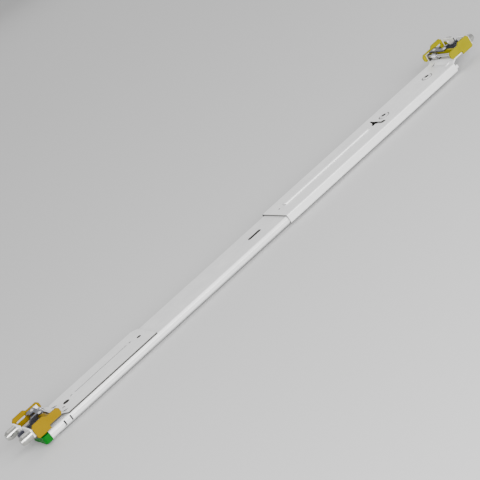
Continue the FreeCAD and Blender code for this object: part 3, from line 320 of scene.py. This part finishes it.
def moulded(name, body, rubbed, gloss, reflection, grain_size=0.3):
    """Plastic from a textured mould; reflection is how strongly its surface mirrors light."""
    material, tree, shader = new_material(name)
    skin = add_node(tree, "ShaderNodeGroup", node_tree=MOULDING)
    give_values(skin, dict(body=(*body, 1), rubbed=(*rubbed, 1), gloss=gloss, grain_size=grain_size))
    bump = add_node(tree, "ShaderNodeBump", Strength=MOULD_BUMP, Distance=MOULD_RELIEF / MICROMETRES)
    tree.links.new(skin.outputs["Height"], bump.inputs["Height"])
    tree.links.new(skin.outputs["Color"], shader.inputs["Base Color"])
    tree.links.new(skin.outputs["Roughness"], shader.inputs["Roughness"])
    tree.links.new(bump.outputs["Normal"], shader.inputs["Normal"])
    shader.inputs["Specular IOR Level"].default_value = reflection
    return material


buffer_plastic = moulded("buffer_acetal", BUFFER_BLACK, BUFFER_RUBBED, 0.55, 0.3)
dress(buffer_plastic, "outer_rear_buffer", "middle_rear_damper")

# ---------------------------------------------------------------- front bracket
# Thicker sheet, blanked and joggled in a press, then plated by itself and riveted to the rail.
# It comes from another bath than the rail, so it is a shade lighter and its grain is finer.
PRESSED_LIGHT = (0.88, 0.88, 0.875)
PRESSED_DARK = (0.74, 0.74, 0.745)
PRESSED_METALLIC = 0.35
PRESSED_RELIEF = 10
# Painted shade darkens its pierced walls and sheet ends.
FRONT_SHADE_ZONES = dict(reach=0.0206, wall_top=0.0145, end_top=0.0125)
front_zinc = plated("front_bracket_zinc", PRESSED_LIGHT, PRESSED_DARK, PRESSED_METALLIC,
                    PRESSED_RELIEF, FRONT_SHADE_ZONES, gloss=0.42, cloud_scale=80.0, grain=0.3)
dress(front_zinc, "front_bracket")

# ---------------------------------------------------------------- set rivets
# Small solid steel rivets, the stud that guides the rear bracket and the release lever's pivot
# are set cold, and the tool leaves their heads brighter than the sheet round them.
SET_LIGHT = (0.80, 0.80, 0.80)
SET_DARK = (0.42, 0.42, 0.43)
RIVET_RELIEF = 25
set_zinc = plated("set_rivet_zinc", SET_LIGHT, SET_DARK, 0.7, RIVET_RELIEF,
                  gloss=0.3, grain=0.0, cloud_scale=500.0)
dress(set_zinc, "grip_rivets", "front_latch_rivets", "rear_latch_rivets", "adjust_stud",
      "release_pivot")

# ---------------------------------------------------------------- front bracket's rivets
# Semi-tubular steel rivets hold the front bracket to the rail. Their hollow ends face out, and the
# floors and walls of the hollows are painted near black as painted shade.
HOLLOW_DARK = (0.55, 0.55, 0.56)
HOLLOW_SHADE_ZONES = dict(reach=0.006, wall_top=0.01165, end_top=0.0, recess_top=0.0112)
hollow_zinc = plated("hollow_rivet_zinc", SET_LIGHT, HOLLOW_DARK, 0.5, RIVET_RELIEF, HOLLOW_SHADE_ZONES,
                     gloss=0.3, grain=0.0, cloud_scale=500.0)
dress(hollow_zinc, "front_bracket_rivets")

# ---------------------------------------------------------------- rear bracket
# Formed sheet that slides outside the rail, with a pressed rib and a pierced window.
# Its broad face is burnished by the press tool, so it is the lightest of the plated pieces.
BURNISHED_LIGHT = (0.92, 0.92, 0.915)
BURNISHED_DARK = (0.80, 0.80, 0.805)
# Painted shade darkens its pierced walls, its sheet ends, the floors of its pressed recesses and its
# channel's inner walls.
REAR_SHADE_ZONES = dict(reach=0.0155, wall_top=0.01118, end_top=0.0125, recess_top=0.01085, inside=1.0)
rear_zinc = plated("rear_bracket_zinc", BURNISHED_LIGHT, BURNISHED_DARK, PRESSED_METALLIC,
                   PRESSED_RELIEF, REAR_SHADE_ZONES, gloss=0.40, cloud_scale=80.0, grain=0.35)
dress(rear_zinc, "rear_bracket")

# ---------------------------------------------------------------- rear stiffener
# A flat plate of the rail's strip inside the rear bracket, behind its broad face. The ringed
# rivets clamp it there, and its plating is duller because nothing rubs it.
STIFFENER_DARK = (0.5, 0.5, 0.51)
stiffener_zinc = plated("stiffener_zinc", RAIL_DARK, STIFFENER_DARK, 0.5, RAIL_RELIEF,
                        gloss=0.45, cloud_scale=90.0)
dress(stiffener_zinc, "rear_stiffener")

# ---------------------------------------------------------------- ringed rivets
# Two large semi-tubular rivets of plated steel join the rear bracket to its stiffener. A ring
# is pressed round each of them, and the hollow in each head is painted near black as painted shade.
RINGED_LIGHT = (0.86, 0.86, 0.86)
RINGED_DARK = (0.5, 0.5, 0.5)
RINGED_SHADE_ZONES = dict(reach=0.0024, wall_top=0.0119, end_top=0.0, recess_top=0.0112)
ringed_zinc = plated("ringed_rivet_zinc", RINGED_LIGHT, RINGED_DARK, 0.5, RIVET_RELIEF, RINGED_SHADE_ZONES,
                     gloss=0.32, grain=0.0, cloud_scale=420.0)
dress(ringed_zinc, "rear_bracket_rivets")

# ---------------------------------------------------------------- rack pegs
# Turned bar with a chamfered nose, nickel plated and riveted through the ears. The lathe's
# feed marks show as fine rings, and the rack's square holes scuff the sides.
NICKEL_LIGHT = (0.66, 0.66, 0.63)
NICKEL_DARK = (0.36, 0.36, 0.34)
FEED_MARKS = (6000.0, 20.0, 20.0)
nickel = plated("peg_nickel", NICKEL_LIGHT, NICKEL_DARK, 1.0, 15,
                gloss=0.2, cloud_scale=260.0, grain=0.6, grain_scale=FEED_MARKS)
dress(nickel, "front_pegs", "rear_pegs")

# ---------------------------------------------------------------- latch pins
# Ground steel pins pressed into the ears' lugs. The lever's wings snap over their ends,
# so only the middle of each pin shows, bright and finely ringed.
PIN_LIGHT = (0.78, 0.77, 0.76)
PIN_DARK = (0.52, 0.51, 0.51)
GRINDING_MARKS = (40.0, 5000.0, 40.0)
pin_steel = plated("pin_steel", PIN_LIGHT, PIN_DARK, 1.0, 8,
                   gloss=0.18, cloud_scale=300.0, grain=0.4, grain_scale=GRINDING_MARKS)
dress(pin_steel, "front_latch_pin", "rear_latch_pin")

# ---------------------------------------------------------------- latch levers
# Glass-filled nylon mouldings with a T head that the fingers press. Both are one golden nylon, and
# the rear one is coloured a lighter lemon yellow as painted light; their corners are rounded by the
# mould.
GOLDEN = (0.215, 0.135, 0.0)
GOLDEN_RUBBED = (0.19, 0.115, 0.0)
# Lemon: the golden nylon coloured lighter, painted light for the brighter light on the rear lever.
LEMON_PAINTED_LIGHT = (0.24, 0.212, 0.0)
LEMON_PAINTED_LIGHT_RUBBED = (0.215, 0.188, 0.0)
NYLON_REFLECTION = 0.06
LEVER_GRAIN = 0.25
golden_nylon = moulded("golden_nylon", GOLDEN, GOLDEN_RUBBED, 0.5, NYLON_REFLECTION, LEVER_GRAIN)
dress(golden_nylon, "front_latch_lever")
lemon_painted_light_nylon = moulded("lemon_painted_light_nylon", LEMON_PAINTED_LIGHT, LEMON_PAINTED_LIGHT_RUBBED, 0.5, NYLON_REFLECTION, LEVER_GRAIN)
dress(lemon_painted_light_nylon, "rear_latch_lever")

# ---------------------------------------------------------------- latch hooks
# Hardened strip steel with a dark, slightly blue oxide finish, bent into a hook and a plate
# and riveted to the lever. Handling leaves the oxide cloudy, with paler and darker patches.
OXIDE_LIGHT = (0.14, 0.145, 0.18)
OXIDE_DARK = (0.045, 0.045, 0.06)
hook_steel = plated("hook_oxide", OXIDE_LIGHT, OXIDE_DARK, 1.0, 15,
                    gloss=0.3, cloud_scale=350.0, grain=0.5)
dress(hook_steel, "front_latch_hook", "rear_latch_hook")

# ---------------------------------------------------------------- latch springs
# Torsion springs wound from plain music wire round the latch pin. One leg presses on the
# joggled sheet and the other lifts the hook's plate.
WIRE_LIGHT = (0.60, 0.60, 0.62)
WIRE_DARK = (0.34, 0.34, 0.36)
SPRING_TURNS = 8
STEPS_IN_TURN = 20
LEG_DROP = 1.35
WIRE_SHARE = 0.46
WIRE_ROUNDING = 3
wire_steel = plated("music_wire", WIRE_LIGHT, WIRE_DARK, 1.0, 6,
                    gloss=0.25, grain=0.0, cloud_scale=600.0)


def wound_spring(end, toward_ear):
    """A wound spring inside its CAD solid's box; toward_ear is the ear's side along X."""
    low, high = (Vector(corner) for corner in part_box(f"{end}_latch_spring"))
    pin_low, pin_high = (Vector(corner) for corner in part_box(f"{end}_latch_pin"))
    middle = (pin_low + pin_high) / 2
    away = high.x - middle.x if toward_ear < 0 else middle.x - low.x
    pitch = (high.y - low.y) / SPRING_TURNS
    radius = away - pitch / 2
    first = low.y + pitch / 2
    width = high.y - low.y - pitch
    points = [(middle.x - toward_ear * radius, first, middle.z - LEG_DROP * radius)]
    count = (SPRING_TURNS - 1) * STEPS_IN_TURN + STEPS_IN_TURN // 4
    for step in range(count + 1):
        angle = math.tau * step / STEPS_IN_TURN
        points.append((middle.x - toward_ear * radius * math.cos(angle),
                       first + width * step / count,
                       middle.z + radius * math.sin(angle)))
    leg_end = low.x if toward_ear < 0 else high.x
    points.append((leg_end, *points[-1][1:]))
    line = bpy.data.curves.new(f"{end}_spring_wire", "CURVE")
    line.dimensions = "3D"
    line.bevel_depth = pitch * WIRE_SHARE
    line.bevel_resolution = WIRE_ROUNDING
    line.use_fill_caps = True
    spline = line.splines.new("POLY")
    spline.points.add(len(points) - 1)
    for point, spot in zip(spline.points, points):
        point.co = (*spot, 1)
    line.materials.append(wire_steel)
    spring = bpy.data.objects.new(f"{end}_wound_spring", line)
    bpy.context.scene.collection.objects.link(spring)
    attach(spring, f"{end}_latch")
    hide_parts(f"{end}_latch_spring")


wound_spring("front", -1)
wound_spring("rear", 1)

# ---------------------------------------------------------------- middle member
# The intermediate channel of the slide, roll-formed from thinner strip than the fixed rail.
# Its back is pierced with long openings, and it is coloured a dark grey.
MIDDLE_GREY_LIGHT = (0.34, 0.34, 0.335)
MIDDLE_GREY_DARK = (0.2, 0.2, 0.2)
# Painted shade darkens its pierced walls and sheet ends.
MIDDLE_SHADE_ZONES = dict(reach=0.0145, wall_top=0.0085, end_top=0.0125)
middle_zinc = plated("middle_zinc", MIDDLE_GREY_LIGHT, MIDDLE_GREY_DARK, 0.7, RAIL_RELIEF, MIDDLE_SHADE_ZONES,
                     gloss=0.38, cloud_scale=60.0)
dress(middle_zinc, "middle_member")

# ---------------------------------------------------------------- ball cages and balls
# Thin bright strip, pierced for the balls and spot-joined by bridges, holds chrome-steel balls
# apart in both races. Both stay bright under a film of clear grease.
CAGE_LIGHT = (0.72, 0.72, 0.70)
CAGE_DARK = (0.5, 0.5, 0.49)
BALL_LIGHT = (0.78, 0.78, 0.78)
BALL_DARK = (0.7, 0.7, 0.7)
cage_strip = plated("cage_strip", CAGE_LIGHT, CAGE_DARK, 0.9, 8, gloss=0.28, cloud_scale=120.0)
dress(cage_strip, "outer_ball_cage", "inner_ball_cage")
ball_steel = plated("ball_steel", BALL_LIGHT, BALL_DARK, 1.0, 1,
                    gloss=0.07, gloss_spread=0.05, grain=0.0)
dress(ball_steel, "outer_balls", "inner_balls")

# ---------------------------------------------------------------- inner member
# The channel that screws to the server's side, with a floor pierced for the chassis screws.
# It is made from the same plated strip as the fixed rail.
INNER_LIGHT = (0.84, 0.84, 0.835)
INNER_DARK = (0.68, 0.68, 0.69)
# Painted shade darkens the walls of the screw holes in its floor and its sheet ends.
INNER_SHADE_ZONES = dict(reach=0.0085, wall_top=0.0015, end_top=0.0125)
inner_zinc = plated("inner_zinc", INNER_LIGHT, INNER_DARK, 0.4, RAIL_RELIEF, INNER_SHADE_ZONES,
                    gloss=0.42, cloud_scale=55.0)
dress(inner_zinc, "inner_member")

# ---------------------------------------------------------------- front grip
# A green nylon moulding riveted into the inner member's front end. Its colour marks it as
# the place to hold when the slide is pulled out.
GREEN = (0.0, 0.115, 0.008)
GREEN_RUBBED = (0.0, 0.095, 0.006)
green_nylon = moulded("green_nylon", GREEN, GREEN_RUBBED, 0.45, NYLON_REFLECTION)
dress(green_nylon, "inner_front_grip")

# ---------------------------------------------------------------- release lever
# A flat strip lever on a shouldered rivet inside the inner member. Pressing its turned-up
# end frees the slide, and its spring steel is left with a pale tempered finish.
TEMPERED_LIGHT = (0.62, 0.62, 0.62)
TEMPERED_DARK = (0.44, 0.44, 0.45)
lever_steel = plated("lever_strip", TEMPERED_LIGHT, TEMPERED_DARK, 0.95, 10,
                     gloss=0.3, cloud_scale=150.0)
dress(lever_steel, "release_lever")

# ---------------------------------------------------------------- floor
# A plain matt pale sheet under the rail, level with the back of the inner member. It is wide
# enough to fill the view behind the rail, and it takes the soft shadows.
FLOOR_GREY = (0.6, 0.6, 0.6, 1)
FLOOR_ROUGHNESS = 0.9
FLOOR_REACH = 6.0
floor_mesh = bpy.data.meshes.new("floor")
sheet = bmesh.new()
bmesh.ops.create_grid(sheet, x_segments=2, y_segments=2, size=FLOOR_REACH)
sheet.to_mesh(floor_mesh)
sheet.free()
floor = bpy.data.objects.new("floor", floor_mesh)
bpy.context.scene.collection.objects.link(floor)
floor.location.z = cad_bounds[0][2]
floor_paint, _, floor_shader = new_material("floor_paint")
floor_shader.inputs["Base Color"].default_value = FLOOR_GREY
floor_shader.inputs["Roughness"].default_value = FLOOR_ROUGHNESS
floor_mesh.materials.append(floor_paint)

# ---------------------------------------------------------------- studio light
# A white room with a long low soft box along the rail's lower side, which lights its flange.
# Weaker ones overhead and behind the rail light its broad face. Powers are in watts.
ROOM_WHITE = (1, 1, 1, 1)
ROOM_STRENGTH = 0.6
KEY_LAMP = dict(place=(-0.35, -1.55, 0.6), size=(2.8, 0.9), power=85)
TOP_LAMP = dict(place=(0.2, 0.5, 1.6), size=(2.2, 1.4), power=8)
BACK_LAMP = dict(place=(0.75, 1.6, 0.7), size=(3.0, 1.0), power=5)
world = bpy.data.worlds.new("studio")
bpy.context.scene.world = world
world.use_nodes = True
room = world.node_tree.nodes["Background"]
room.inputs["Color"].default_value = ROOM_WHITE
room.inputs["Strength"].default_value = ROOM_STRENGTH


def soft_box(name, place, size, power):
    """An area lamp aimed at the rail's middle."""
    lamp = bpy.data.lights.new(name, "AREA")
    lamp.shape = "RECTANGLE"
    lamp.size, lamp.size_y = size
    lamp.energy = power
    holder = bpy.data.objects.new(name, lamp)
    bpy.context.scene.collection.objects.link(holder)
    holder.location = place
    holder.rotation_euler = (-Vector(place)).to_track_quat("-Z", "Y").to_euler()


soft_box("key_lamp", **KEY_LAMP)
soft_box("top_lamp", **TOP_LAMP)
soft_box("back_lamp", **BACK_LAMP)

# ---------------------------------------------------------------- camera
# A long lens that looks down on the rail from its front end, rolled so that the rail
# climbs from the lower left corner to the upper right one.
AZIMUTH = math.radians(-24.72)
ELEVATION = math.radians(19.47)
ROLL = math.radians(-33.54)
DISTANCE = 1.503
AIM = Vector((0.0175, 0, 0))
SENSOR = 36.0
LENS = 125.56
SHIFT = (-0.0796, -0.0273)
NEAREST = 0.01

back = Vector((math.sin(AZIMUTH) * math.cos(ELEVATION),
               -math.cos(AZIMUTH) * math.cos(ELEVATION),
               math.sin(ELEVATION)))
level_right = Vector((0, 0, 1)).cross(back).normalized()
level_up = back.cross(level_right)
right = level_right * math.cos(ROLL) + level_up * math.sin(ROLL)
up = level_up * math.cos(ROLL) - level_right * math.sin(ROLL)
turned = Matrix((right, up, back)).transposed().to_4x4()
camera_data = bpy.data.cameras.new("camera")
camera_data.sensor_width = SENSOR
camera_data.lens = LENS
camera_data.shift_x, camera_data.shift_y = SHIFT
camera_data.clip_start = NEAREST
camera = bpy.data.objects.new("camera", camera_data)
bpy.context.scene.collection.objects.link(camera)
camera.matrix_world = Matrix.Translation(AIM + back * DISTANCE) @ turned
bpy.context.scene.camera = camera
